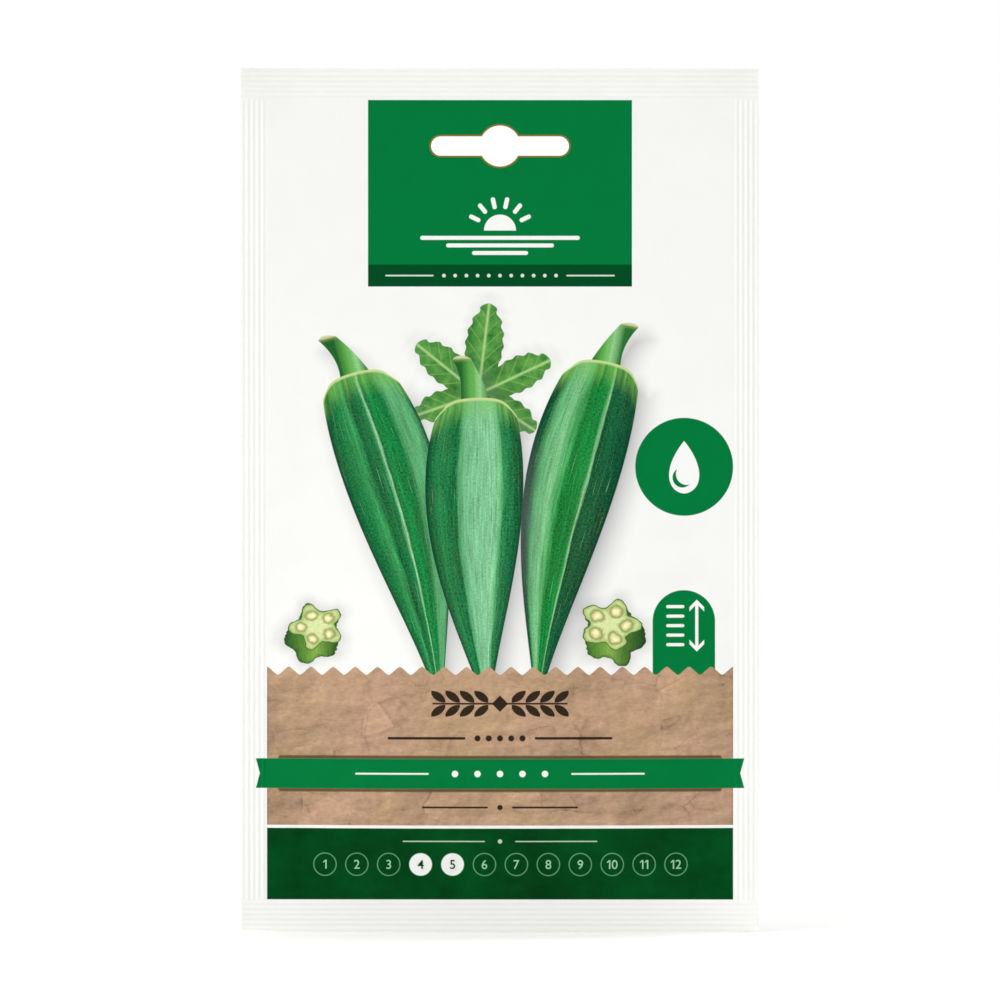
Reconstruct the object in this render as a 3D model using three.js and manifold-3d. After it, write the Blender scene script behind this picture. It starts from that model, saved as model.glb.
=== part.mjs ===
// A paper seed packet, hung upright: two sheets heat-sealed round a flat border, with a hang slot
// punched through the sealed header and loose seeds settled in the lower half.
// Units are millimetres. +Z is up, the printed front faces -Y, and the origin is the slot's middle.

import * as THREE from "three";
import { mergeVertices } from "three/addons/utils/BufferGeometryUtils.js";
import Module from "manifold-3d";

// Driving dimensions
const PACKET = { width: 120, height: 200, aboveSlot: 18 };
const SHEET = { thickness: 0.3, gap: 0.3, columns: 24, rows: 40 };
const SEAL = { side: 6, bottom: 7.3, belowSlot: 12 };
const SLOT = { length: 32, barHeight: 4.5, ringDiameter: 9.5, punch: 4, arcSteps: 10 };
const BULGE = { front: 5.2, back: 3.8, fullestAt: 0.8 };
const SEED = {
  diameter: 4.8,
  count: 52,
  pitch: 0.86, // of the diameter, so that neighbours bite into each other
  clearance: 0.6,
  drift: 0.5,
  sizeSpread: 0.12,
  detail: 1,
};

const RANDOM = { seed: 7, factor: 1664525, step: 1013904223, range: 2 ** 32 };

const COLOUR = { paper: "#f4f3ee", seed: "#4d5348" };

const FRONT = -1;
const BACK = 1;

// Edges of the packet and of the pocket inside its seals
const packetBottom = PACKET.aboveSlot - PACKET.height;
const pocketTop = -SEAL.belowSlot;
const pocketBottom = packetBottom + SEAL.bottom;
const pocketHalfWidth = PACKET.width / 2 - SEAL.side;

const wasm = await Module();
wasm.setup();

// A closed three.js geometry as a solid that can be joined and cut
function solidOf(geometry) {
  const bare = geometry.clone();
  bare.deleteAttribute("normal");
  bare.deleteAttribute("uv");
  const merged = mergeVertices(bare);
  return new wasm.Manifold(
    new wasm.Mesh({
      numProp: 3,
      vertProperties: new Float32Array(merged.attributes.position.array),
      triVerts: new Uint32Array(merged.index.array),
    }),
  );
}

// A solid as a three.js geometry
function geometryOf(solid) {
  const { vertProperties, triVerts } = solid.getMesh();
  const geometry = new THREE.BufferGeometry();
  geometry.setAttribute("position", new THREE.BufferAttribute(vertProperties, 3));
  geometry.setIndex(new THREE.BufferAttribute(triVerts, 1));
  geometry.computeVertexNormals();
  return geometry;
}

// A repeatable stream of numbers from 0 to 1
function randomStream() {
  let state = RANDOM.seed;
  return () => {
    state = (state * RANDOM.factor + RANDOM.step) % RANDOM.range;
    return state / RANDOM.range;
  };
}

// How full the packet is at a point, from 0 on the seals to 1 where the seeds and air push it out most
function fullness(x, z) {
  const across = x / pocketHalfWidth;
  const down = (pocketTop - z) / (pocketTop - pocketBottom);
  if (Math.abs(across) >= 1 || down <= 0 || down >= 1) return 0;
  const lowering = Math.log(0.5) / Math.log(BULGE.fullestAt);
  return (1 - across ** 2) * Math.sin(Math.PI * down ** lowering);
}

// Distance from the packet's middle plane to a sheet's inner face
function roomTo(side, x, z) {
  const depth = side === FRONT ? BULGE.front : BULGE.back;
  return SHEET.gap / 2 + depth * fullness(x, z);
}

// One sheet of paper as a closed grid, its two faces split into triangles alike
function sheetGeometry(side) {
  const { columns, rows, thickness } = SHEET;
  const stride = columns + 1;
  const inner = stride * (rows + 1);
  const outline = [];
  const lining = [];
  for (let row = 0; row <= rows; row++) {
    for (let column = 0; column <= columns; column++) {
      const x = PACKET.width * (column / columns - 0.5);
      const z = packetBottom + PACKET.height * (row / rows);
      const room = roomTo(side, x, z);
      outline.push(x, side * (room + thickness), z);
      lining.push(x, side * room, z);
    }
  }
  const triangles = [];
  const add = (a, b, c) => triangles.push(...(side === FRONT ? [a, b, c] : [a, c, b]));
  const rim = (from, to) => {
    add(to, from, from + inner);
    add(to, from + inner, to + inner);
  };
  const at = (column, row) => row * stride + column;
  for (let row = 0; row < rows; row++) {
    for (let column = 0; column < columns; column++) {
      const [a, b] = [at(column, row), at(column + 1, row)];
      const [c, d] = [at(column, row + 1), at(column + 1, row + 1)];
      add(a, b, c);
      add(b, d, c);
      add(a + inner, c + inner, b + inner);
      add(b + inner, c + inner, d + inner);
    }
  }
  for (let column = 0; column < columns; column++) {
    rim(at(column, 0), at(column + 1, 0));
    rim(at(column + 1, rows), at(column, rows));
  }
  for (let row = 0; row < rows; row++) {
    rim(at(columns, row), at(columns, row + 1));
    rim(at(0, row + 1), at(0, row));
  }
  const geometry = new THREE.BufferGeometry();
  geometry.setAttribute("position", new THREE.Float32BufferAttribute([...outline, ...lining], 3));
  geometry.setIndex(triangles);
  return geometry;
}

// The punch that cuts the hang slot: a round-ended bar with a wider ring at its middle
function slotPunch() {
  const endRadius = SLOT.barHeight / 2;
  const ringRadius = SLOT.ringDiameter / 2;
  const barEnd = SLOT.length / 2 - endRadius;
  const meet = Math.asin(endRadius / ringRadius);
  const outline = new THREE.Shape();
  outline.absarc(barEnd, 0, endRadius, -Math.PI / 2, Math.PI / 2);
  outline.absarc(0, 0, ringRadius, meet, Math.PI - meet);
  outline.absarc(-barEnd, 0, endRadius, Math.PI / 2, 1.5 * Math.PI);
  outline.absarc(0, 0, ringRadius, Math.PI + meet, 2 * Math.PI - meet);
  const punch = new THREE.ExtrudeGeometry(outline, {
    depth: SLOT.punch,
    bevelEnabled: false,
    curveSegments: SLOT.arcSteps,
  });
  return punch.rotateX(Math.PI / 2).translate(0, SLOT.punch / 2, 0);
}

function panelGeometry(side) {
  return geometryOf(solidOf(sheetGeometry(side)).subtract(solidOf(slotPunch())));
}

// Middle points of the seeds: staggered rows from the lowest place where a seed fits, upwards
function seedPlaces(random) {
  const pitch = SEED.pitch * SEED.diameter;
  const rowPitch = pitch * Math.sin(Math.PI / 3);
  const halfCount = Math.ceil(pocketHalfWidth / pitch);
  const places = [];
  for (let row = 0; places.length < SEED.count; row++) {
    const z = pocketBottom + SEED.diameter / 2 + row * rowPitch;
    for (let column = -halfCount; column <= halfCount; column++) {
      const x = (column + (row % 2) / 2) * pitch;
      const front = roomTo(FRONT, x, z) - SEED.clearance;
      const back = roomTo(BACK, x, z) - SEED.clearance;
      if (front + back < SEED.diameter || places.length === SEED.count) continue;
      const drift = SEED.drift * (random() - 0.5);
      places.push(new THREE.Vector3(x, (back - front) / 2 + drift, z));
    }
  }
  return places;
}

// The heap of seeds, each a small rounded body turned its own way and joined to those it touches
function seedHeap() {
  const random = randomStream();
  const seeds = seedPlaces(random).map((place) => {
    const seed = new THREE.IcosahedronGeometry(SEED.diameter / 2, SEED.detail);
    seed.scale(1, 1, 1 - SEED.sizeSpread * random());
    seed.rotateX(Math.PI * random()).rotateZ(Math.PI * random());
    return solidOf(seed.translate(place.x, place.y, place.z));
  });
  return geometryOf(seeds.reduce((heap, seed) => heap.add(seed)));
}

function piece(name, geometry, colour, roughness) {
  const material = new THREE.MeshStandardMaterial({ color: colour, roughness, metalness: 0 });
  const mesh = new THREE.Mesh(geometry, material);
  mesh.name = name;
  return mesh;
}

const seedPacket = new THREE.Group();
seedPacket.add(
  piece("front_panel", panelGeometry(FRONT), COLOUR.paper, 0.6),
  piece("back_panel", panelGeometry(BACK), COLOUR.paper, 0.6),
  piece("seeds", seedHeap(), COLOUR.seed, 0.8),
);

export default seedPacket;
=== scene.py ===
import math

import bmesh
import bpy
import numpy as np
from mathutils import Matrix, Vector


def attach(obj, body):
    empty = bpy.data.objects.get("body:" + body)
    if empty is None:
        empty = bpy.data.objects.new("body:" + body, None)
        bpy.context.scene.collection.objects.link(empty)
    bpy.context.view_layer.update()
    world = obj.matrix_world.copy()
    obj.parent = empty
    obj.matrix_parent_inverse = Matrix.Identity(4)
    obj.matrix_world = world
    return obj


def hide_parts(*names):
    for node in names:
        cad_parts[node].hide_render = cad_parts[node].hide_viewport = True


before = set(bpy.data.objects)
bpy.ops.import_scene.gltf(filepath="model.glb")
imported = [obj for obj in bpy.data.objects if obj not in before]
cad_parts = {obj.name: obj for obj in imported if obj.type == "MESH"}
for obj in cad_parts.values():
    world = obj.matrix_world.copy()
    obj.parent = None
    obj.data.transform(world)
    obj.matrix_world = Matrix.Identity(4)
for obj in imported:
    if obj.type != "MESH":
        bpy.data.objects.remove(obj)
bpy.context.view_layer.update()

MM = 0.001

# The packet's sizes in millimetres, in the part's own frame: the origin is the middle of the hang slot.
WIDTH, TOP, BOTTOM = 120.0, 18.0, -182.0
POCKET_TOP, POCKET_BOTTOM, POCKET_HALF = -12.0, -174.7, 54.0
DEPTH = {"front": 5.2, "back": 3.8}
FULLEST_AT = 0.8
PAPER_THICKNESS, SEAM_GAP = 0.16, 0.03
SEAL_TOP, CRIMP_PITCH, CRIMP_DEPTH = 10.7, 1.2, 0.07
SLOT_LENGTH, SLOT_BAR, SLOT_RING = 32.0, 4.5, 9.5
SEED_SIZE, SEED_PITCH, SEED_COUNT, SEED_CLEAR = 4.8, 0.86, 52, 0.6

# The gap that the solids leave between their two panels, which says where a seed fits
SOLID_GAP = 0.3

# What the random unevenness of each sheet starts from
PUCKER_START = {"front": 5, "back": 6}
WAVE_START = {"front": 21, "back": 22}

# Where one zone of the print gives way to the next, from the top down
HEADER_LOW, PICTURE_LOW, BAND_TOP = -33.5, -123.4, -157.75

# The print: the header block and its strip, the brown field with its teeth and ribbon, and the foot band
PRINT_HALF = 54.03
HEADER_HALF, HEADER_TOP, STRIP_TOP, HEADER_FOOT = 30.61, 10.67, -27.5, -32.6
TEETH_PITCH, TEETH_REACH, TEETH_MIDDLE = 5.152, 0.9, -121.65
RIBBON_MIDDLE, RIBBON_HALF, RIBBON_REACH = -145.43, 3.44, 55.7
KRAFT_FOOT, BAND_HEAD = -157.4, -158.1
MONTH_PITCH, MONTH_FIRST, MONTH_HEIGHT, MONTH_RADIUS = 7.395, -40.57, -166.5, 2.6

# The month numbers: their size and boldness, the gap between digits, the flag of a 1, and how far they
# stand off the paper
DIGIT_SIZE, DIGIT_BOLD, DIGIT_GAP, DIGIT_FLAG, DIGIT_LIFT = 3.0, 0.02, 0.3, 0.48, 0.08


def srgb(red, green, blue):
    """A colour given as it looks on screen, 0 to 255, as linear light."""
    linear = [c / 12.92 if c <= 0.04045 else ((c + 0.055) / 1.055) ** 2.4 for c in
              (red / 255, green / 255, blue / 255)]
    return (*linear, 1.0)


WHITE = srgb(244, 244, 241)
GREEN = srgb(0, 119, 58)
DEEP_GREEN = srgb(0, 74, 35)
BAND_GREEN = srgb(0, 66, 24)
OCHRE = srgb(150, 112, 40)
KRAFT_YELLOW, KRAFT_PINK = srgb(180, 149, 117), srgb(184, 149, 124)
INK = srgb(30, 22, 16)
RING_GREEN = srgb(98, 156, 112)
MONTH_INK, SOWING_INK = srgb(152, 206, 166), srgb(4, 74, 34)
STRIP_MARKS, RIBBON_MARKS, BAND_MARKS = srgb(214, 226, 210), srgb(238, 244, 236), srgb(190, 212, 188)
RIBBON_LIFT = srgb(88, 70, 46)
BACK_RULES = srgb(122, 158, 128)
PAPER_CORE = srgb(240, 236, 226)
SEED_DARK, SEED_PALE = srgb(58, 64, 54), srgb(112, 118, 98)
FLOOR_WHITE = srgb(250, 250, 249)


# Shader arithmetic


class Value:
    """One socket of a material, with arithmetic that adds nodes to it."""

    def __init__(self, finish, socket):
        self.finish = finish
        self.socket = socket

    def math(self, operation, *others, clamp=False):
        return self.finish.node("ShaderNodeMath", [self, *others], operation=operation, use_clamp=clamp)

    def __add__(self, other):
        return self.math("ADD", other)

    __radd__ = __add__

    def __sub__(self, other):
        return self.math("SUBTRACT", other)

    def __rsub__(self, other):
        return self.finish.node("ShaderNodeMath", [other, self], operation="SUBTRACT")

    def __mul__(self, other):
        return self.math("MULTIPLY", other)

    __rmul__ = __mul__

    def __truediv__(self, other):
        return self.math("DIVIDE", other)

    def __pow__(self, other):
        return self.math("POWER", other)

    def __neg__(self):
        return self.math("MULTIPLY", -1.0)

    def __abs__(self):
        return self.math("ABSOLUTE")

    def least(self, other):
        return self.math("MINIMUM", other)

    def most(self, other):
        return self.math("MAXIMUM", other)

    def root(self):
        return self.math("SQRT")

    def sine(self):
        return self.math("SINE")

    def cosine(self):
        return self.math("COSINE")

    def repeat(self, period):
        """The value folded into one period round zero."""
        return self.math("WRAP", period / 2, -period / 2)

    def ease(self, low, high):
        """0 at low and before it, 1 at high and past it, and smooth between; low may be the larger."""
        return self.finish.node("ShaderNodeMapRange", {"Value": self, "From Min": low, "From Max": high},
                                interpolation_type="SMOOTHSTEP")

    def fill(self, soft=0.07):
        """1 inside a shape, where its distance is below zero, and 0 outside, over an edge of soft mm."""
        return self.math("MULTIPLY_ADD", -0.5 / soft, 0.5, clamp=True)


class Finish:
    """A material, built node by node."""

    def __init__(self, name, **uniform):
        self.material = bpy.data.materials.new(name)
        self.material.use_nodes = True
        self.tree = self.material.node_tree
        self.shader = self.tree.nodes["Principled BSDF"]
        for socket, value in uniform.items():
            self.shader.inputs[socket.replace("_", " ")].default_value = value
        place = self.node("ShaderNodeTexCoord", output="Object")
        split = self.node("ShaderNodeSeparateXYZ", [place]).socket.node
        self.x = Value(self, split.outputs["X"]) * 1000.0
        self.z = Value(self, split.outputs["Z"]) * 1000.0
        self.place = self.vector(self.x, 0.0, self.z)

    def node(self, kind, values=(), output=0, **settings):
        made = self.tree.nodes.new(kind)
        for name, value in settings.items():
            setattr(made, name, value)
        for key, value in values.items() if isinstance(values, dict) else enumerate(values):
            if isinstance(value, Value):
                self.tree.links.new(value.socket, made.inputs[key])
            else:
                made.inputs[key].default_value = value
        return Value(self, made.outputs[output])

    def set(self, socket, value):
        self.tree.links.new(value.socket, self.shader.inputs[socket])

    def vector(self, x, y, z):
        return self.node("ShaderNodeCombineXYZ", [x, y, z])

    def noise(self, place, scale, detail=2.0, roughness=0.5):
        return self.node("ShaderNodeTexNoise", {"Vector": place, "Scale": scale, "Detail": detail,
                                                "Roughness": roughness})

    def blend(self, below, above, amount, how="MIX"):
        return self.node("ShaderNodeMix", {0: amount, 6: below, 7: above}, output=2, data_type="RGBA",
                         blend_type=how)

    def ramp(self, value, stops):
        """A colour for a value from 0 to 1, from a list of (value, colour)."""
        made = self.node("ShaderNodeValToRGB", [value])
        elements = made.socket.node.color_ramp.elements
        elements[0].position, elements[0].color = stops[0]
        elements[1].position, elements[1].color = stops[-1]
        for position, colour in stops[1:-1]:
            elements.new(position).color = colour
        return made

    def shade(self, colour, factor):
        """A colour made lighter or darker by a factor."""
        return self.blend(colour, self.vector(factor, factor, factor), 1.0, "MULTIPLY")


# Shapes as signed distances in millimetres: below zero inside


def bar(x, z, middle, half, radius=0.0):
    """A rectangle with rounded corners."""
    across = abs(x - middle[0]) - (half[0] - radius)
    up = abs(z - middle[1]) - (half[1] - radius)
    if not radius:
        return across.most(up)
    outside = (across.most(0.0) ** 2.0 + up.most(0.0) ** 2.0).root()
    return outside + across.most(up).least(0.0) - radius


def disc(x, z, middle, radius):
    return ((x - middle[0]) ** 2.0 + (z - middle[1]) ** 2.0).root() - radius


def slot_shape(x, z):
    straight = bar(x, z, (0, 0), (SLOT_LENGTH / 2, SLOT_BAR / 2), SLOT_BAR / 2)
    return straight.least(disc(x, z, (0, 0), SLOT_RING / 2))


# Printed pictures


def paper_tint(ink):
    """White paper with a faint cloudiness."""
    cloud = ink.noise(ink.place, 0.12, 3.0)
    return ink.shade(WHITE, cloud * 0.03 + 0.985)


def band_tint(ink):
    """The dark green of the foot band, clouded like brushed ink."""
    cloud = ink.noise(ink.place, 0.06, 4.0, 0.6) * 1.7
    brush = ink.noise(ink.vector(ink.x * 0.4, 0.0, ink.z), 0.5, 3.0, 0.6) * 0.5
    return ink.shade(BAND_GREEN, cloud + brush)


def kraft_print(ink):
    """Brown wrapping paper that has been crumpled and smoothed out again."""
    drift = ink.noise(ink.place, 0.07, 2.0) - 0.5
    sway = ink.noise(ink.vector(ink.z, 0.0, ink.x), 0.06, 2.0) - 0.5
    wobble = ink.noise(ink.place, 0.8, 2.0, 0.6) - 0.5
    light = (ink.noise(ink.place, 0.045, 3.0) - 0.5) * 0.3 - abs(ink.x).ease(42.0, 57.0) * 0.1
    for scale, depth in ((0.05, 2.1), (0.13, 1.3)):
        x, z = ink.x + drift * 8.0, ink.z * 1.5
        high = ink.noise(ink.vector(x, 0.0, z), scale, 3.0, 0.55)
        low = ink.noise(ink.vector(x + 0.05 / scale, 0.0, z - 0.06 / scale), scale, 3.0, 0.55)
        light = light + (high - low) * depth
    worn = ink.noise(ink.vector(ink.z, 0.0, ink.x), 0.09, 2.0).ease(0.42, 0.64)
    for scale, slant, depth, reach in ((0.036, 0.7, 0.14, 0.15), (0.075, -0.5, 0.08, 0.13)):
        bent = ink.vector((ink.x + drift * 14.0 + wobble + ink.z * slant) * scale, 0.0,
                          (ink.z * 1.3 + sway * 10.0 + wobble - ink.x * (0.4 * slant)) * scale)
        facet = ink.node("ShaderNodeTexVoronoi", {"Vector": bent, "Scale": 1.0}, output="Color")
        edge = ink.node("ShaderNodeTexVoronoi", {"Vector": bent, "Scale": 1.0}, feature="DISTANCE_TO_EDGE")
        lean = ink.node("ShaderNodeSeparateColor", [facet]) - 0.5
        fold = (edge / -reach).math("EXPONENT") * (worn * 0.6 + 0.4)
        crease = 1.0 - edge.ease(0.12 * scale, 0.55 * scale)
        light = light + lean * fold * (2.0 * depth) + crease * worn * (lean - 0.3) * 0.3
    fibre = ink.noise(ink.vector(ink.x * 0.5, 0.0, ink.z), 1.5, 3.0, 0.8) - 0.5
    mottle = ink.noise(ink.place, 0.45, 4.0, 0.75) - 0.5
    speck = ink.noise(ink.place, 0.9, 1.0, 0.4).ease(0.70, 0.77)
    light = light + fibre * 0.7 + mottle * 0.42 - speck * 0.3 - abs(ink.x).ease(53.5, 53.95) * 0.2
    tone = ink.blend(KRAFT_YELLOW, KRAFT_PINK, ink.noise(ink.place, 0.05, 3.0).ease(0.3, 0.7))
    return ink.shade(tone, light + 1.0)


def kraft_teeth(ink):
    """The pinked top edge of the brown field: a zigzag with rounded tips."""
    round_off = 0.88
    swing = (ink.x * (2 * math.pi / TEETH_PITCH)).cosine() * -round_off
    top = swing.math("ARCSINE") * (TEETH_REACH / math.asin(round_off)) + TEETH_MIDDLE
    return (ink.z - top).most(abs(ink.x) - PRINT_HALF)


# The greens across a pod, from side to side: flat faces between ridges, each ridge a pale line or a step
FACE_BROAD = [
    (0.0, srgb(20, 84, 50)), (0.10, srgb(28, 108, 62)), (0.20, srgb(44, 132, 78)),
    (0.24, srgb(104, 182, 124)), (0.30, srgb(134, 198, 150)), (0.58, srgb(118, 186, 138)),
    (0.66, srgb(84, 160, 106)), (0.69, srgb(24, 106, 58)), (0.86, srgb(38, 132, 74)),
    (1.0, srgb(14, 78, 46))]
FACE_RIDGED = [
    (0.0, srgb(32, 112, 66)), (0.10, srgb(96, 172, 116)), (0.24, srgb(86, 160, 104)),
    (0.30, srgb(22, 118, 60)), (0.44, srgb(28, 134, 66)), (0.485, srgb(30, 116, 64)),
    (0.505, srgb(150, 206, 156)), (0.54, srgb(34, 128, 72)), (0.66, srgb(20, 98, 54)),
    (0.74, srgb(60, 152, 88)), (0.84, srgb(30, 124, 66)), (1.0, srgb(16, 86, 50))]
FACE_SHADED = [
    (0.0, srgb(12, 70, 44)), (0.22, srgb(24, 96, 58)), (0.31, srgb(20, 88, 52)),
    (0.335, srgb(138, 196, 140)), (0.37, srgb(30, 134, 62)), (0.56, srgb(20, 124, 52)),
    (0.62, srgb(72, 160, 90)), (0.72, srgb(124, 192, 134)), (0.86, srgb(96, 172, 112)),
    (0.93, srgb(24, 90, 52)), (1.0, srgb(10, 60, 38))]

# The rest of a pod's colours
POD_FLECK, POD_EDGE, POD_TIP = srgb(82, 68, 48), srgb(12, 64, 40), srgb(78, 84, 48)
PALE_HAIR, DARK_HAIR = srgb(164, 214, 164), srgb(28, 104, 58)
CAP_GREEN, CAP_LINE = srgb(126, 192, 88), srgb(206, 220, 150)
STALK_ROUND = [
    (0.0, srgb(44, 112, 50)), (0.36, srgb(146, 204, 138)), (0.5, srgb(112, 184, 96)),
    (0.72, srgb(86, 160, 72)), (1.0, srgb(34, 100, 44))]
STALK_END, STALK_CUT = srgb(150, 160, 92), srgb(214, 224, 176)
POD_SHADOW = srgb(96, 98, 108)


class Pod:
    """An okra pod painted on the paper: a ridged, tapering body with a cap and a cut stem."""

    stem_length, stem_half, stem_bend = 12.5, 2.1, 12.0
    shadow_fall = (2.2, -3.0)

    def __init__(self, ink, cap, tip, half_width, bow, stem_lean, faces, seed):
        self.ink = ink
        self.cap, self.tip = cap, tip
        self.half_width, self.bow, self.stem_lean = half_width, bow, stem_lean
        self.faces, self.seed = faces, seed
        self.length = math.dist(cap, tip)

    def measure(self, shift=(0.0, 0.0)):
        """How far along and across the pod a point is, and the pod's half width there."""
        along_x, along_z = ((t - c) / self.length for t, c in zip(self.tip, self.cap))
        x = self.ink.x - (self.cap[0] + shift[0])
        z = self.ink.z - (self.cap[1] + shift[1])
        down = x * along_x + z * along_z
        share = (down / self.length).most(0.0).least(1.0)
        across = x * along_z - z * along_x - share * (1.0 - share) * (4.0 * self.bow)
        shoulder = 1.0 - (share * -5.5).math("EXPONENT") * 0.34
        taper = (1.0 - share ** 2.4) ** 1.6
        return down, share, across, shoulder * taper * (1.18 * self.half_width) + 0.6

    def dome(self, side):
        """How far the shoulders rise above the cap's line."""
        out = (side ** 2.0).least(1.0)
        return 2.6 - out * 1.4 - out ** 3.0 * 3.2

    def body_shape(self, measured):
        down, _, across, half = measured
        dome = self.dome(across / half)
        return (abs(across) - half).most(-(down + dome)).most(down - self.length)

    def stem_shape(self, measured):
        down, _, across, _ = measured
        rise = (-down).most(0.0).least(self.stem_length)
        lean = across - rise ** 2.0 * (self.stem_lean / self.stem_bend**2)
        flare = (self.stem_bend - rise).most(0.0) ** 2.0 * 0.014 + self.stem_half
        cut = -down - self.stem_length + (lean / flare) ** 2.0 * 0.7
        return (abs(lean) - flare).most(down - 2.0).most(cut)

    def shadow(self):
        """How dark the paper is under the pod, whose soft shadow falls to the lower right."""
        moved = self.measure(self.shadow_fall)
        shape = self.body_shape(moved).least(self.stem_shape(moved))
        return shape.fill(4.4) ** 1.6 * 0.7

    def paint(self, below):
        ink = self.ink
        measured = self.measure()
        down, share, across, half = measured
        side = across / half

        def grain(fine, long, contrast, detail=3.0):
            place = ink.vector(side * fine + self.seed, share * long, 0.0)
            return (ink.noise(place, 1.0, detail, 0.65) - 0.5) * contrast

        streak = grain(8.5, 5.5, 1.0)
        stipple = ink.noise(ink.place, 2.0, 3.0, 0.75)
        skin = ink.ramp((side + streak * 0.16) * 0.5 + 0.5, self.faces)
        dark = ink.node("ShaderNodeRGBToBW", [skin]).ease(0.30, 0.12)
        rough = (stipple - 0.5) * (dark * 1.7 + 1.0)
        skin = ink.shade(skin, streak * 0.95 + grain(30.0, 8.0, 1.4) + rough * 1.3 + 1.0)
        brown = stipple.ease(0.50, 0.62) * dark * grain(2.0, 3.0, 3.0).ease(-0.2, 0.4)
        skin = ink.blend(skin, POD_FLECK, brown * 0.7)
        skin = ink.blend(skin, PALE_HAIR, grain(40.0, 5.0, 1.0).ease(0.13, 0.22) * dark * 0.55)
        skin = ink.blend(skin, DARK_HAIR, grain(46.0, 4.0, 1.0).ease(0.12, 0.20) * 0.75)
        skin = ink.blend(skin, POD_EDGE, abs(side).ease(0.90, 1.0) * 0.7)
        fall = down + self.dome(side)
        skin = ink.blend(skin, CAP_GREEN, fall.ease(7.0, 0.4) * (streak * 2.4 + 0.5))
        skin = ink.blend(skin, CAP_LINE, fall.ease(0.9, 0.35) * 0.85)
        skin = ink.blend(skin, POD_TIP, share.ease(0.96, 1.0))
        stalk = ink.ramp(across * 0.16 + 0.5, STALK_ROUND)
        stalk = ink.shade(stalk, grain(9.0, 16.0, 0.7) + (stipple - 0.5) * 0.7 + 1.0)
        stalk = ink.blend(stalk, STALK_END, (-down).ease(10.8, 11.8) * 0.6)
        stalk = ink.blend(stalk, STALK_CUT, (-down).ease(11.5, 12.1) * 0.8)
        below = ink.blend(below, stalk, self.stem_shape(measured).fill())
        return ink.blend(below, skin, self.body_shape(measured).fill())


LEAF_DARK, LEAF_LIGHT = srgb(38, 112, 48), srgb(104, 166, 78)
LEAF_RIB, LEAF_VEIN, LEAF_SHADOW = srgb(150, 196, 112), srgb(178, 212, 136), srgb(150, 152, 158)


def leaf_print(ink, below, middle, reach, turn):
    """A lobed leaf, seen flat, with its veins."""
    x = ink.x - middle[0]
    z = ink.z - middle[1]
    angle = (ink.node("ShaderNodeMath", [x, z], operation="ARCTAN2") - turn).repeat(2 * math.pi)
    radius = (x * x + z * z).root()
    lobe = math.radians(58)
    to_vein = angle.repeat(lobe)
    finger = 1.0 - abs(to_vein / (lobe / 2)) ** 1.3 * 0.62
    shrink = 1.0 - abs(angle) * 0.13
    teeth = (radius * 2.4).sine() * 0.5
    outline = radius - finger * shrink * reach + teeth
    outline = outline.most((abs(angle) - lobe * 2.5) * 14.0)
    vein = (abs(to_vein.sine() * radius) - 0.28).fill(0.2)
    rib = ((radius - abs(to_vein.sine() * radius) * 1.3) * 1.9).sine().ease(0.86, 1.0)
    cloud = ink.noise(ink.place, 0.35, 4.0, 0.65)
    green = ink.ramp(cloud, [(0.3, LEAF_DARK), (0.7, LEAF_LIGHT)])
    green = ink.shade(green, abs(to_vein).ease(0.0, 0.5) * -0.3 + 1.1)
    green = ink.blend(green, LEAF_RIB, rib * 0.35)
    green = ink.blend(green, LEAF_VEIN, vein * 0.85)
    below = ink.blend(below, LEAF_SHADOW, (outline - 0.6).fill(4.0) * 0.28)
    return ink.blend(below, green, outline.fill())


SLICE_SKIN = [
    (0.0, srgb(52, 96, 42)), (0.3, srgb(92, 140, 56)), (0.5, srgb(132, 172, 78)),
    (0.7, srgb(78, 122, 50)), (1.0, srgb(44, 80, 38))]
SLICE_EDGE, SLICE_RIM, SLICE_SHADOW = srgb(34, 62, 30), srgb(62, 100, 40), srgb(120, 122, 126)
FLESH_MIDDLE, FLESH_OUTER = srgb(216, 226, 162), srgb(148, 184, 94)
CHAMBER_GREEN, CHAMBER_LINE = srgb(146, 166, 90), srgb(104, 126, 62)
PIP_MIDDLE, PIP_EDGE = srgb(246, 240, 190), srgb(206, 196, 128)


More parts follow.
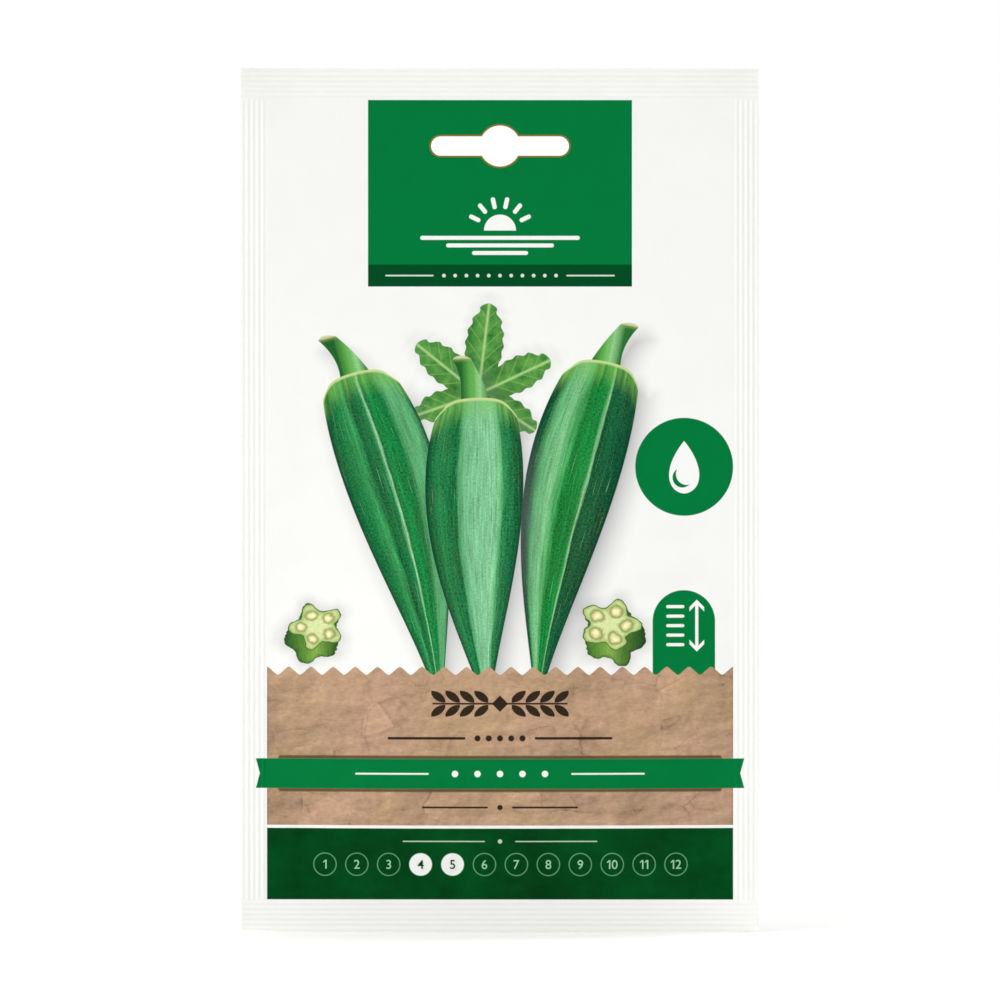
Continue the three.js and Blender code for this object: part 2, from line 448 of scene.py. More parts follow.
def slice_print(ink, below, middle, reach, turn, lean):
    """A cut slice of a pod: a star with five seed chambers, and its green wall below it."""
    drift = (ink.noise(ink.place, 0.3, 2.0) - 0.5) * 2.2
    sway = (ink.noise(ink.vector(ink.z, 0.0, ink.x), 0.3, 2.0) - 0.5) * 2.2

    def star(dx, dz):
        x = ink.x - (middle[0] + dx) + drift
        z = (ink.z - (middle[1] + dz)) * 1.18 + sway
        radius = (x * x + z * z).root()
        angle = ink.node("ShaderNodeMath", [x, z], operation="ARCTAN2") - turn
        point = angle.repeat(2 * math.pi / 5)
        edge = ((angle * 5.0).cosine() * 0.17 + 0.83) * reach
        return radius, point, radius - edge

    radius, point, face = star(0.0, 0.0)
    wall = face
    for step in (0.34, 0.67, 1.0):
        wall = wall.least(star(lean[0] * step, lean[1] * step)[2])
    grain = ink.noise(ink.place, 1.6, 3.0, 0.65) - 0.5
    streak = ink.noise(ink.vector(ink.x * 2.6, 0.0, ink.z * 0.4), 1.0, 3.0, 0.65) - 0.5
    below = ink.blend(below, SLICE_SHADOW, (wall - 0.4).fill(3.8) ** 1.4 * 0.6)
    skin = ink.ramp((ink.x - middle[0]) / (2.0 * reach) + 0.5, SLICE_SKIN)
    skin = ink.shade(skin, streak * 0.9 + grain * 0.6 + 1.0)
    skin = ink.blend(skin, SLICE_EDGE, wall.ease(-1.1, 0.0) * 0.6)
    below = ink.blend(below, skin, wall.fill())
    ray = ink.noise(ink.vector(point * 7.0, 0.0, radius * 0.3), 1.0, 3.0, 0.65) - 0.5
    flesh = ink.shade(FLESH_MIDDLE, grain * 0.4 + ray * 0.45 + 1.0)
    flesh = ink.blend(flesh, FLESH_OUTER, face.ease(-1.6, -0.3) * (ray * 1.2 + 0.75))
    hollow = (0.53 + ray * 0.14) * reach
    chamber = (radius * radius + hollow * hollow - radius * point.cosine() * hollow * 2.0).root()
    flesh = ink.blend(flesh, CHAMBER_GREEN, (chamber - 0.25 * reach).fill(0.4) * 0.85)
    flesh = ink.blend(flesh, CHAMBER_LINE, (abs(chamber - 0.2 * reach) - 0.05).fill(0.3) * 0.7)
    pip = ink.blend(PIP_MIDDLE, PIP_EDGE, chamber.ease(0.05 * reach, 0.17 * reach))
    flesh = ink.blend(flesh, ink.shade(pip, grain * 0.5 + 1.0), (chamber - 0.165 * reach).fill(0.2))
    flesh = ink.blend(flesh, SLICE_RIM, face.ease(-0.5, -0.1))
    return ink.blend(below, flesh, face.fill())


def polar_rays(ink, middle, inner, outer, half, count):
    """Short bars set round a point like the rays of a sun."""
    x = ink.x - middle[0]
    z = ink.z - middle[1]
    radius = (x * x + z * z).root()
    angle = ink.node("ShaderNodeMath", [z, x], operation="ARCTAN2").repeat(2 * math.pi / count)
    along = radius * angle.cosine()
    return bar(along, radius * angle.sine(), ((inner + outer) / 2, 0), ((outer - inner) / 2, half), half)


def drop_shape(x, z, middle, height):
    """A drop of water, point up, with a crescent cut out of it."""
    size = height / 12.4
    rise = ((z - middle[1]) / height + 0.5).most(0.0).least(1.0)
    body = abs(x - middle[0]) - rise.root() * (1.0 - rise) ** 0.95 * (9.4 * size) + 0.2
    full = disc(x, z, (middle[0] - 0.4 * size, middle[1] - 2.5 * size), 2.3 * size)
    bite = disc(x, z, (middle[0] + 0.6 * size, middle[1] - 1.7 * size), 2.5 * size)
    return body.most(-full.most(-bite))


def depth_shape(x, z, middle):
    """A double-headed arrow beside a scale of short bars."""
    reach, line = 5.6, 0.36
    up = z - middle[1]
    off = abs(x - (middle[0] + 3.0))
    shaft = (off - line).most(abs(up) - reach)
    heads = (abs(abs(up) - 5.5 + off) - 0.5).most(off - 1.7)
    bars = bar(x, up.repeat(2.2), (middle[0] - 2.0, 0.0), (2.1, line), line).most(abs(up) - reach)
    return shaft.least(heads).least(bars)


def sunrise_shape(ink):
    """Half a sun over three furrows."""
    x, z = ink.x, ink.z
    horizon, furrow = -19.6, 0.46
    sun = disc(x, z, (0, horizon), 3.7).most(horizon - z)
    sun = sun.least(polar_rays(ink, (0, horizon), 5.1, 7.9, 0.5, 14).most(-18.3 - z))
    for row, half in enumerate((18.5, 12.5, 6.5)):
        sun = sun.least(bar(x, z, (0, -21.3 - 1.75 * row), (half, furrow), furrow))
    return sun


def header_field(ink, below):
    """The green block at the top: a fine line round the hang slot, a sun, and a dark strip at the foot."""
    x, z = ink.x, ink.z
    middle, half = (HEADER_TOP + HEADER_FOOT) / 2, (HEADER_TOP - HEADER_FOOT) / 2
    block = bar(x, z, (0, middle), (HEADER_HALF, half))
    cloud = ink.noise(ink.place, 0.2, 3.0)
    field = ink.shade(GREEN, cloud * 0.06 + 0.97)
    strip = ink.shade(DEEP_GREEN, cloud * 0.1 + 0.95)
    field = ink.blend(field, strip, (z - STRIP_TOP).fill())
    ring = abs(slot_shape(x, z) - 0.16) - 0.17
    field = ink.blend(field, OCHRE, ring.fill(0.08))
    field = ink.blend(field, WHITE, sunrise_shape(ink).fill())
    line = (STRIP_TOP + HEADER_FOOT) / 2
    dots = disc(x.repeat(2.6), z, (0, line), 0.42).most(abs(x) - 14.2)
    dash = bar(abs(x), z, (21.0, line), (5.6, 0.17), 0.17)
    field = ink.blend(field, STRIP_MARKS, dots.least(dash).fill())
    return ink.blend(below, field, block.fill())


def header_print(ink):
    return header_field(ink, paper_tint(ink))


def badge_prints(ink, below):
    """A round badge with a drop, and a tab with a sowing depth."""
    x, z = ink.x, ink.z
    badge, tab, depth = (42.7, -74.4), (42.6, -116.4), (42.6, -111.2)
    green = ink.shade(GREEN, ink.noise(ink.place, 0.25, 3.0) * 0.06 + 0.97)
    fields = disc(x, z, badge, 11.35).least(bar(x, z, tab, (7.25, 13.4), 7.2))
    below = ink.blend(below, green, fields.fill())
    signs = drop_shape(x, z, badge, 12.4).least(depth_shape(x, z, depth))
    return ink.blend(below, WHITE, signs.fill())


def picture_print(ink):
    """Three pods before a leaf, two slices and two signs, with the brown field's teeth at the foot."""
    below = paper_tint(ink)
    pods = [
        Pod(ink, cap=(24.0, -52.5), tip=(8.5, -131.0), half_width=10.0, bow=2.8, stem_lean=-4.0,
            faces=FACE_SHADED, seed=11.0),
        Pod(ink, cap=(-33.0, -55.0), tip=(-13.5, -131.5), half_width=10.2, bow=-2.6, stem_lean=4.5,
            faces=FACE_RIDGED, seed=3.0),
        Pod(ink, cap=(-5.5, -61.0), tip=(-2.5, -132.5), half_width=10.6, bow=1.6, stem_lean=3.0,
            faces=FACE_BROAD, seed=29.0),
    ]
    below = leaf_print(ink, below, middle=(-5.0, -57.5), reach=21.5, turn=0.12)
    for pod in pods:
        below = ink.blend(below, POD_SHADOW, pod.shadow())
        below = pod.paint(below)
    below = slice_print(ink, below, middle=(25.5, -111.0), reach=7.4, turn=0.35, lean=(1.2, -3.6))
    below = slice_print(ink, below, middle=(-42.5, -111.5), reach=6.6, turn=0.9, lean=(-1.2, -3.2))
    below = badge_prints(ink, below)
    return ink.blend(below, kraft_print(ink), kraft_teeth(ink).fill())


def sprig_shape(x, z, height):
    """A straight sprig with pairs of pointed leaves, growing both ways from a diamond."""
    lean, leaf_pitch, leaf_rise = math.radians(36), 3.35, 1.62
    leaf_half, leaf_reach = 0.92, 2.35
    out, up = abs(x), abs(z - height)
    step = (out - 7.6).repeat(leaf_pitch)
    along = step * math.cos(lean) + (up - leaf_rise) * math.sin(lean)
    across = (up - leaf_rise) * math.cos(lean) - step * math.sin(lean)
    leaf = abs(across) - leaf_half + (along / leaf_reach) ** 2.0 * leaf_half
    leaf = leaf.most(abs(out - 9.3) - 6.6)
    stem = (up - 0.2).most(out - 15.6)
    return leaf.least(stem).least(out + up - 1.9)


def kraft_field_print(ink):
    """The brown field: a sprig, rules and dots in dark ink, and a green ribbon laid across it."""
    x, z = ink.x, ink.z
    field = kraft_print(ink)
    sprig, upper_rule, lower_rule = -129.2, -137.2, -153.2
    marks = sprig_shape(x, z, sprig)
    marks = marks.least(bar(abs(x), z, (17.0, upper_rule), (9.0, 0.3), 0.3))
    marks = marks.least(disc(x.repeat(2.6), z, (0, upper_rule), 0.7).most(abs(x) - 6.4))
    marks = marks.least(bar(abs(x), z, (10.4, lower_rule), (7.6, 0.22), 0.22))
    marks = marks.least(disc(x, z, (0, lower_rule), 0.62))
    worn = ink.noise(ink.place, 1.2, 3.0, 0.7).ease(0.22, 0.4)
    field = ink.blend(field, INK, marks.fill() * (worn * 0.2 + 0.76))
    below = ink.blend(paper_tint(ink), field, (abs(x) - PRINT_HALF).most(KRAFT_FOOT - z).fill())
    off = abs(z - RIBBON_MIDDLE)
    lift = (abs(off - RIBBON_HALF - 0.36) - 0.4).most(abs(x) - 53.2 + off * 0.5)
    below = ink.blend(below, RIBBON_LIFT, lift.fill(0.15) * 0.9)
    ribbon = (off - RIBBON_HALF).most(abs(x) - RIBBON_REACH - off * 0.27)
    satin = ink.shade(GREEN, ink.noise(ink.place, 0.16, 3.0) * 0.08 + 0.96)
    marks = disc(x.repeat(5.2), z, (0, RIBBON_MIDDLE), 0.75).most(abs(x) - 14.0)
    marks = marks.least(bar(abs(x), z, (25.0, RIBBON_MIDDLE), (8.5, 0.2), 0.2))
    satin = ink.blend(satin, RIBBON_MARKS, marks.fill())
    return ink.blend(below, satin, ribbon.fill())


def band_shape(x, z):
    """The dark band at the foot, down to the bottom seal."""
    return (abs(x) - PRINT_HALF).most(z - BAND_HEAD).most(POCKET_BOTTOM - z)


def months_print(ink):
    """The foot band with a ring for each month, the fourth and fifth filled for sowing."""
    x, z = ink.x, ink.z
    green = band_tint(ink)
    first = MONTH_FIRST - MONTH_PITCH / 2
    cell = (x - first).math("MODULO", MONTH_PITCH) - MONTH_PITCH / 2
    month = ((x - first) / MONTH_PITCH).math("FLOOR")  # from 0, at the left
    span = abs(x - (MONTH_FIRST + 5.5 * MONTH_PITCH)) - 6.0 * MONTH_PITCH
    ring = disc(cell, z, (0, MONTH_HEIGHT), MONTH_RADIUS)
    green = ink.blend(green, RING_GREEN, (abs(ring) - 0.12).most(span).fill())
    sowing = (abs(month - 3.5) - 0.9) * 10.0
    green = ink.blend(green, WHITE, ring.most(sowing).fill())
    line = -161.1
    rule = bar(abs(x), z, (13.0, line), (9.5, 0.13), 0.13)
    dot = disc(x, z, (0, line), 0.5)
    green = ink.blend(green, BAND_MARKS, rule.least(dot).fill())
    return ink.blend(paper_tint(ink), green, band_shape(x, z).fill())


def back_print(ink):
    """The header again, three round signs over ruled lines in a frame, a brown belt and the foot band."""
    x, z = ink.x, ink.z
    sun, drop, depth = (-30.0, -54.5), (0.0, -54.5), (30.0, -54.5)
    rules_top, rules_foot, rules_half, rules_pitch = -68.0, -136.0, 46.0, 8.5
    belt_top = -144.6
    below = header_field(ink, paper_tint(ink))
    green = ink.shade(GREEN, ink.noise(ink.place, 0.2, 3.0) * 0.06 + 0.97)
    for middle in (sun, drop, depth):
        below = ink.blend(below, green, disc(x, z, middle, 9.0).fill())
    signs = disc(x, z, sun, 2.6).least(polar_rays(ink, sun, 3.8, 5.8, 0.42, 12))
    signs = signs.least(drop_shape(x, z, drop, 10.5))
    signs = signs.least(depth_shape(x, z, (depth[0] - 0.6, depth[1])))
    below = ink.blend(below, WHITE, signs.fill())
    rules = abs((z + 40.0).repeat(rules_pitch)) - 0.13
    rules = rules.most(abs(x) - rules_half).most(z - rules_top).most(rules_foot - z)
    below = ink.blend(below, BACK_RULES, rules.fill())
    frame_line = abs(bar(x, z, (0, -90.0), (49.5, 49.0), 3.0)) - 0.2
    below = ink.blend(below, GREEN, frame_line.fill())
    below = ink.blend(below, band_tint(ink), band_shape(x, z).fill())
    belt = (abs(x) - PRINT_HALF).most(z - belt_top).most(KRAFT_FOOT - z)
    return ink.blend(below, kraft_print(ink), belt.fill())


def paper_finish(name, draw):
    """Smooth, dull paper carrying a print, with a faint grain of fibres."""
    ink = Finish(name, Specular_IOR_Level=0.03)
    ink.set("Base Color", draw(ink))
    fibre = ink.noise(ink.place, 3.2, 4.0, 0.7)
    cloud = ink.noise(ink.place, 0.35, 2.0)
    ink.set("Roughness", fibre * 0.16 + cloud * 0.1 + 0.4)
    relief = ink.node("ShaderNodeBump", {"Height": fibre, "Strength": 0.12, "Distance": 0.00012})
    ink.set("Normal", relief)
    return ink.material


def core_finish():
    """The bare inside of the paper, and its cut edges."""
    ink = Finish("paper_core", Specular_IOR_Level=0.2)
    fibre = ink.noise(ink.place, 4.0, 4.0, 0.7)
    ink.set("Base Color", ink.shade(PAPER_CORE, fibre * 0.12 + 0.94))
    ink.set("Roughness", fibre * 0.2 + 0.6)
    return ink.material


def number_finish(name, colour):
    """The ink of the month numbers, a little uneven."""
    ink = Finish(name, Specular_IOR_Level=0.03)
    ink.set("Base Color", ink.shade(colour, ink.noise(ink.place, 1.4, 2.0) * 0.12 + 0.94))
    ink.set("Roughness", ink.noise(ink.place, 3.2, 4.0) * 0.16 + 0.42)
    return ink.material


def seed_finish():
    """The dull grey-green coat of an okra seed, mottled and finely pitted."""
    ink = Finish("seed_coat", Specular_IOR_Level=0.3)
    mottle = ink.noise(ink.node("ShaderNodeTexCoord", output="Object"), 900.0, 4.0, 0.6)
    ink.set("Base Color", ink.ramp(mottle, [(0.3, SEED_DARK), (0.7, SEED_PALE)]))
    ink.set("Roughness", mottle * 0.3 + 0.55)
    ink.set("Normal", ink.node("ShaderNodeBump", {"Height": mottle, "Strength": 0.4, "Distance": 0.0003}))
    return ink.material


# The packet's form


def fullness(x, z):
    """How full the packet is: 0 on the seals and 1 where the seeds and the air push it out most."""
    across = np.clip(np.abs(x) / POCKET_HALF, 0, 1)
    down = np.clip((POCKET_TOP - z) / (POCKET_TOP - POCKET_BOTTOM), 0, 1)
    lowering = math.log(0.5) / math.log(FULLEST_AT)
    return (1 - across**2) * np.sin(math.pi * down**lowering)


def seed_places():
    """Middle points of the seeds, in staggered rows from the lowest place where one fits."""
    pitch = SEED_PITCH * SEED_SIZE
    needed = SEED_SIZE + 2 * SEED_CLEAR
    half = math.ceil(POCKET_HALF / pitch)
    places = []
    row = 0
    while len(places) < SEED_COUNT:
        z = POCKET_BOTTOM + SEED_SIZE / 2 + row * pitch * math.sin(math.pi / 3)
        for column in range(-half, half + 1):
            x = (column + row % 2 / 2) * pitch
            full = float(fullness(np.array(x), np.array(z)))
            room = SOLID_GAP + (DEPTH["front"] + DEPTH["back"]) * full
            if room >= needed and len(places) < SEED_COUNT:
                places.append((x, z))
        row += 1
    return places


def gather(inward, off, reach, spread):
    """One dent that starts at a seal, is deepest at its reach, and dies out further in."""
    return np.exp(-((off / spread) ** 2)) * inward / reach * np.exp(1 - inward / reach)


def puckers(side, x, z):
    """Small dents where the paper gathers along its seals, with a fold out of each lower corner."""
    rng = np.random.default_rng(PUCKER_START[side])
    dent = np.zeros_like(x)
    slack = np.clip((POCKET_TOP - z) / 110, 0, 1)
    for edge in (-1, 1):
        inward = np.clip(POCKET_HALF - edge * x, 0, None)
        for place in np.linspace(-60, -166, 11) + rng.uniform(-4, 4, 11):
            reach, spread = rng.uniform(4, 9), rng.uniform(2.2, 5.0)
            depth = rng.uniform(0.15, 0.7)
            drop = place + inward * rng.uniform(-0.35, 0.35)
            dent += depth * slack * gather(inward, z - drop, reach, spread)
        corner_x, corner_z = edge * POCKET_HALF, POCKET_BOTTOM
        lean = math.radians(rng.uniform(50, 60))
        away = (edge * (corner_x - x)) * math.cos(lean) + (z - corner_z) * math.sin(lean)
        off = (edge * (corner_x - x)) * math.sin(lean) - (z - corner_z) * math.cos(lean)
        run = np.clip(away / 12, 0, 1) * np.exp(-np.clip(away, 0, None) / 22)
        dent += 1.1 * run * np.exp(-((off / 3.2) ** 2))
    upward = np.clip(z - POCKET_BOTTOM, 0, None)
    for place in np.linspace(-42, 42, 9) + rng.uniform(-3, 3, 9):
        reach, spread = rng.uniform(3.5, 7), rng.uniform(2.2, 4.2)
        drift = place + upward * rng.uniform(-0.3, 0.3)
        dent += rng.uniform(0.12, 0.5) * gather(upward, x - drift, reach, spread)
    deepest = 0.55 * fullness(x, z) * DEPTH[side]
    return np.minimum(dent, deepest)


def waves(side, x, z):
    """Broad, shallow unevenness of the filled paper, and the seeds that show through it."""
    rng = np.random.default_rng(WAVE_START[side])
    ripples, lump_radius = 6, 2.0
    sway = np.zeros_like(x)
    for _ in range(ripples):
        kx, kz = rng.uniform(-0.09, 0.09), rng.uniform(-0.07, 0.07)
        sway += rng.uniform(0.06, 0.16) * np.sin(kx * x + kz * z + rng.uniform(0, 2 * math.pi))
    lumps = np.zeros_like(x)
    for seed_x, seed_z in seed_places():
        near = np.exp(-(((x - seed_x) ** 2 + (z - seed_z) ** 2) / lump_radius**2))
        lumps = np.maximum(lumps, rng.uniform(0.15, 0.42) * near)
    return sway * fullness(x, z) ** 0.5 + lumps


def crimps(x, z):
    """Fine ribs pressed into the seals, along each edge."""

    def seal(from_inner, from_outer):
        return np.clip(from_inner / 0.8, 0, 1) * np.clip(from_outer / 0.5, 0, 1)

    out = np.abs(x)
    sides = seal(out - POCKET_HALF, WIDTH / 2 - out)
    ends = np.maximum(seal(z - SEAL_TOP, TOP - z), seal(POCKET_BOTTOM - z, z - BOTTOM))
    side_ribs = np.sin(2 * math.pi * out / CRIMP_PITCH)
    end_ribs = np.sin(2 * math.pi * z / CRIMP_PITCH)
    return CRIMP_DEPTH * np.where(ends > 0, ends * end_ribs, sides * side_ribs)


def warp(x, z):
    """The slight curl of the whole packet, less where it is full."""
    half, corner_reach = WIDTH / 2, 20
    lifts = ((-half, TOP, -1.3), (half, TOP, 0.9), (-half, BOTTOM, 0.5), (half, BOTTOM, -0.8))
    curl = 0.55 * np.cos(math.pi * x / 130) * np.cos(math.pi * (z - TOP) / 210)
    twist = 0.5 * (x / half) * np.sin(math.pi * (z + 60) / 190)
    corners = np.zeros_like(x)
    for edge, end, lift in lifts:
        near = np.clip(1 - np.hypot(x - edge, z - end) / corner_reach, 0, 1)
        corners += lift * near**2
    return (curl + twist) * (1 - fullness(x, z)) + corners


def outer_face(side, x, z):
    """Where a sheet's printed face is, along Y, in millimetres."""
    sign = -1 if side == "front" else 1
    room = SEAM_GAP / 2 + PAPER_THICKNESS + DEPTH[side] * fullness(x, z)
    room = room + waves(side, x, z) - puckers(side, x, z)
    return sign * room + crimps(x, z) + warp(x, z)


def spaced(*stops):
    """Places along a line, from (place, step) pairs: each stretch is split into about that step."""
    places = [stops[0][0]]
    for (start, step), (end, _) in zip(stops, stops[1:]):
        places.extend(np.linspace(start, end, max(1, round(abs(end - start) / step)) + 1)[1:])
    return np.array(places)


def sheet(name, side, zone_of, materials):
    """One sheet of the packet as a thin closed solid, with its slot punched out."""
    half, rib, fine, even, coarse = WIDTH / 2, CRIMP_PITCH / 5, 0.45, 0.8, 1.2
    flat_half, numbers_top = 48, -163
    xs = spaced((-half, rib), (-POCKET_HALF, fine), (-flat_half, even), (flat_half, fine),
                (POCKET_HALF, rib), (half, 0))
    zs = spaced((BOTTOM, rib), (POCKET_BOTTOM, fine), (numbers_top, even), (BAND_TOP, 1.0),
                (PICTURE_LOW, coarse), (HEADER_LOW, coarse), (POCKET_TOP, coarse), (SEAL_TOP, rib),
                (TOP, 0))
    x, z = np.meshgrid(xs, zs)
    outer = outer_face(side, x, z)
    sign = -1 if side == "front" else 1
    inner = outer - sign * PAPER_THICKNESS
    rows, columns = x.shape
    count = rows * columns
    layers = [np.stack([x, y, z], axis=-1).reshape(-1, 3) for y in (outer, inner)]
    points = np.concatenate(layers) * MM
    at = np.arange(count).reshape(rows, columns)
    quads = np.stack([at[:-1, :-1], at[:-1, 1:], at[1:, 1:], at[1:, :-1]], axis=-1).reshape(-1, 4)
    loop = np.concatenate([at[0, :-1], at[:-1, -1], at[-1, :0:-1], at[:0:-1, 0]])
    after = np.roll(loop, -1)
    rim = np.stack([after, loop, loop + count, after + count], axis=-1)
    faces = np.concatenate([quads, quads[:, ::-1] + count, rim])
    if side == "back":
        faces = faces[:, ::-1]
    mesh = bpy.data.meshes.new(name)
    mesh.from_pydata(points.tolist(), [], faces.tolist())
    for material in materials:
        mesh.materials.append(material)
    middle = z.reshape(-1)[quads].mean(axis=1)
    zones = np.concatenate([zone_of(middle), np.full(len(quads) + len(rim), len(materials) - 1)])
    mesh.polygons.foreach_set("material_index", zones.astype(np.int32))
    made = bpy.data.objects.new(name, mesh)
    bpy.context.collection.objects.link(made)
    punch_slot(made, materials[-1])
    made.data.polygons.foreach_set("use_smooth", np.ones(len(made.data.polygons), dtype=bool))
    made.data.set_sharp_from_angle(angle=math.radians(50))
    return made


def punch_slot(sheet_piece, material):
    """Cuts the hang slot through a sheet: a round-ended bar with a wider ring at its middle."""
    end, ring = SLOT_BAR / 2, SLOT_RING / 2
    meet = math.asin(end / ring)
    reach = SLOT_LENGTH / 2 - end
    arcs = [(reach, end, -math.pi / 2, math.pi / 2), (0, ring, meet, math.pi - meet),
            (-reach, end, math.pi / 2, 1.5 * math.pi), (0, ring, math.pi + meet, 2 * math.pi - meet)]
    outline = [(middle + radius * math.cos(a), radius * math.sin(a))
               for middle, radius, start, stop in arcs for a in np.linspace(start, stop, 25)]
    through = 4.0
    points = [(x * MM, y * MM, z * MM) for y in (-through, through) for x, z in outline]
    size = len(outline)
    faces = [list(range(size)), list(range(2 * size - 1, size - 1, -1))]
    faces += [[(i + 1) % size, i, i + size, (i + 1) % size + size] for i in range(size)]
    mesh = bpy.data.meshes.new("slot_punch")
    mesh.from_pydata(points, [], faces)
    mesh.materials.append(material)
    punch = bpy.data.objects.new("slot_punch", mesh)
    bpy.context.collection.objects.link(punch)
    cut = sheet_piece.modifiers.new("slot", "BOOLEAN")
    cut.operation, cut.solver, cut.object = "DIFFERENCE", "MANIFOLD", punch
    cut.material_mode = "TRANSFER"
    bpy.context.view_layer.update()
    graph = bpy.context.evaluated_depsgraph_get()
    result = bpy.data.meshes.new_from_object(sheet_piece.evaluated_get(graph))
    sheet_piece.modifiers.clear()
    sheet_piece.data = result
    bpy.data.objects.remove(punch)


def add_digit(shape, digit, left):
    """Adds one digit to a flat mesh, starting at left, and returns where the digit ends."""
    text = bpy.data.curves.new("digit", "FONT")
    text.body = digit
    text.size, text.offset = DIGIT_SIZE, DIGIT_BOLD
    holder = bpy.data.objects.new("digit", text)
    bpy.context.collection.objects.link(holder)
    bpy.context.view_layer.update()
    before = len(shape.verts)
    shape.from_mesh(holder.evaluated_get(bpy.context.evaluated_depsgraph_get()).to_mesh())
    bpy.data.objects.remove(holder)
    shape.verts.ensure_lookup_table()
    drawn = shape.verts[before:]
    stem = left + (DIGIT_FLAG if digit == "1" else 0.0)
    drawn_left = min(vertex.co.x for vertex in drawn)
    bmesh.ops.translate(shape, verts=drawn, vec=(stem - drawn_left, 0, 0))
    if digit == "1":
        top = max(vertex.co.y for vertex in drawn)
        flag = ((left, top - 0.42), (left, top - 0.74), (stem, top - 0.36), (stem, top))
        shape.faces.new([shape.verts.new((x, y, 0)) for x, y in flag])
    return max(vertex.co.x for vertex in drawn)


def flat_number(month):
    """One month's number as a flat mesh in millimetres, split finely enough to follow the paper."""
    longest, rounds = 0.4, 4
    shape = bmesh.new()
    right = 0.0
    for digit in str(month):
        right = add_digit(shape, digit, right + DIGIT_GAP)
    for _ in range(rounds):
        bmesh.ops.triangulate(shape, faces=shape.faces)
        long = [edge for edge in shape.edges if edge.calc_length() > longest]
        bmesh.ops.subdivide_edges(shape, edges=long, cuts=1)
    bmesh.ops.triangulate(shape, faces=shape.faces)
    shape.verts.index_update()
    corners = np.array([vertex.co[:2] for vertex in shape.verts])
    faces = [[vertex.index for vertex in face.verts] for face in shape.faces]
    shape.free()
    return corners - (corners.min(axis=0) + corners.max(axis=0)) / 2, faces


def numbers(name, months, material):
    """Month numbers laid on the printed face, each in the middle of its ring."""
    places, faces = [], []
    for month in months:
        corners, shapes = flat_number(month)
        base = sum(len(done) for done in places)
        faces += [[base + i for i in shape] for shape in shapes]
        places.append(corners + (MONTH_FIRST + MONTH_PITCH * (month - 1), MONTH_HEIGHT))
    x, z = np.concatenate(places).T
    y = outer_face("front", x, z) - DIGIT_LIFT
    mesh = bpy.data.meshes.new(name)
    mesh.from_pydata((np.stack([x, y, z], axis=-1) * MM).tolist(), [], faces)
    mesh.materials.append(material)
    made = bpy.data.objects.new(name, mesh)
    bpy.context.collection.objects.link(made)
    return made


core = core_finish()
prints = [paper_finish("months_print", months_print), paper_finish("kraft_print", kraft_field_print),
          paper_finish("picture_print", picture_print), paper_finish("header_print", header_print)]
front = sheet("front_sheet", "front", lambda z: np.digitize(z, (BAND_TOP, PICTURE_LOW, HEADER_LOW)),
              [*prints, core])
back = sheet("back_sheet", "back", np.zeros_like, [paper_finish("back_print", back_print), core])
light_numbers = numbers("month_numbers", (1, 2, 3, 6, 7, 8, 9, 10, 11, 12),
                        number_finish("pale_ink", MONTH_INK))
dark_numbers = numbers("sowing_month_numbers", (4, 5), number_finish("dark_ink", SOWING_INK))

for piece, slot in ((front, "front_paper"), (back, "back_paper"), (light_numbers, "front_paper"),
                    (dark_numbers, "front_paper")):
    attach(piece, "root")
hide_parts("front_panel")
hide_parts("back_panel")

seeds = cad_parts["seeds"]
seed_material = seed_finish()
for holder in seeds.material_slots:
    holder.material = seed_material


# The studio: a pale floor under the packet, and soft light from three sides

FLOOR_RADIUS, FLOOR_GAP, FLOOR_SIDES = 0.8, 0.0004, 64
WORLD_LIGHT, WORLD_SEEN = 0.38, 1.0
CAMERA_AWAY, CAMERA_HEIGHT, CAMERA_SPAN = 1.6, -0.0821, 0.2319


def floor_finish():
    """Matt white, very slightly uneven."""
    ink = Finish("floor", Specular_IOR_Level=0.1)
    ink.set("Base Color", ink.shade(FLOOR_WHITE, ink.noise(ink.place, 0.01, 3.0) * 0.02 + 0.99))
    ink.set("Roughness", ink.noise(ink.place, 0.02, 3.0) * 0.1 + 0.8)
    return ink.material


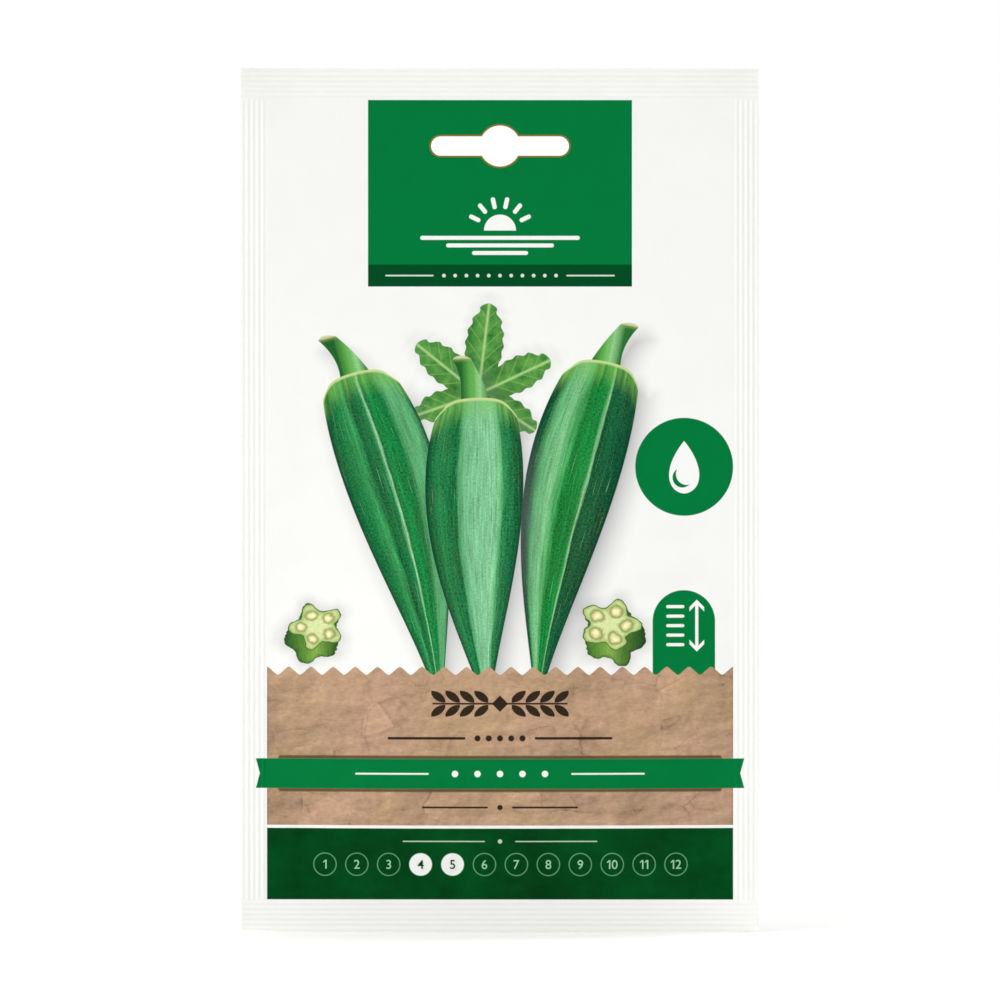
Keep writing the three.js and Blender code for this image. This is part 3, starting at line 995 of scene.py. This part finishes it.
floor_mesh = bpy.data.meshes.new("floor")
turns = np.linspace(0, 2 * math.pi, FLOOR_SIDES + 1)[:-1]
edge = [(FLOOR_RADIUS * math.cos(a), FLOOR_RADIUS * math.sin(a), BOTTOM * MM - FLOOR_GAP) for a in turns]
floor_mesh.from_pydata(edge, [], [list(range(FLOOR_SIDES))])
floor_mesh.materials.append(floor_finish())
floor = bpy.data.objects.new("floor", floor_mesh)
bpy.context.collection.objects.link(floor)


def softbox(name, place, aim, size, power):
    """A round, soft lamp that points at aim."""
    lamp = bpy.data.lights.new(name, "AREA")
    lamp.shape, lamp.size, lamp.energy = "DISK", size, power
    holder = bpy.data.objects.new(name, lamp)
    holder.location = place
    direction = Vector(aim) - Vector(place)
    holder.rotation_mode = "QUATERNION"
    holder.rotation_quaternion = direction.to_track_quat("-Z", "Y")
    bpy.context.collection.objects.link(holder)


softbox("key", place=(-1.5, -1.1, 1.3), aim=(0, 0, -0.08), size=1.0, power=30.0)
softbox("top", place=(0.0, 0.0, 2.4), aim=(0, 0, -0.18), size=2.2, power=34.0)
softbox("rear", place=(1.5, 1.1, 1.5), aim=(0, 0, -0.08), size=1.6, power=24.0)

# The white surroundings show at full strength but light the packet more gently
world = bpy.data.worlds.new("studio")
world.use_nodes = True
backdrop = world.node_tree.nodes["Background"]
seen = world.node_tree.nodes.new("ShaderNodeLightPath")
level = world.node_tree.nodes.new("ShaderNodeMapRange")
level.inputs["To Min"].default_value = WORLD_LIGHT
level.inputs["To Max"].default_value = WORLD_SEEN
world.node_tree.links.new(seen.outputs["Is Camera Ray"], level.inputs["Value"])
world.node_tree.links.new(level.outputs["Result"], backdrop.inputs["Strength"])
backdrop.inputs["Color"].default_value = (1.0, 1.0, 1.0, 1.0)
scene = bpy.context.scene
scene.world = world
scene.view_settings.view_transform = "Standard"

# The camera looks straight at the front through a long lens, and takes in CAMERA_SPAN metres there
camera_data = bpy.data.cameras.new("camera")
camera = bpy.data.objects.new("camera", camera_data)
bpy.context.collection.objects.link(camera)
camera.location = (0, -CAMERA_AWAY, CAMERA_HEIGHT)
camera.rotation_euler = (math.pi / 2, 0, 0)
camera_data.lens = camera_data.sensor_width * CAMERA_AWAY / CAMERA_SPAN
camera_data.clip_start, camera_data.clip_end = 0.05, 50
scene.camera = camera
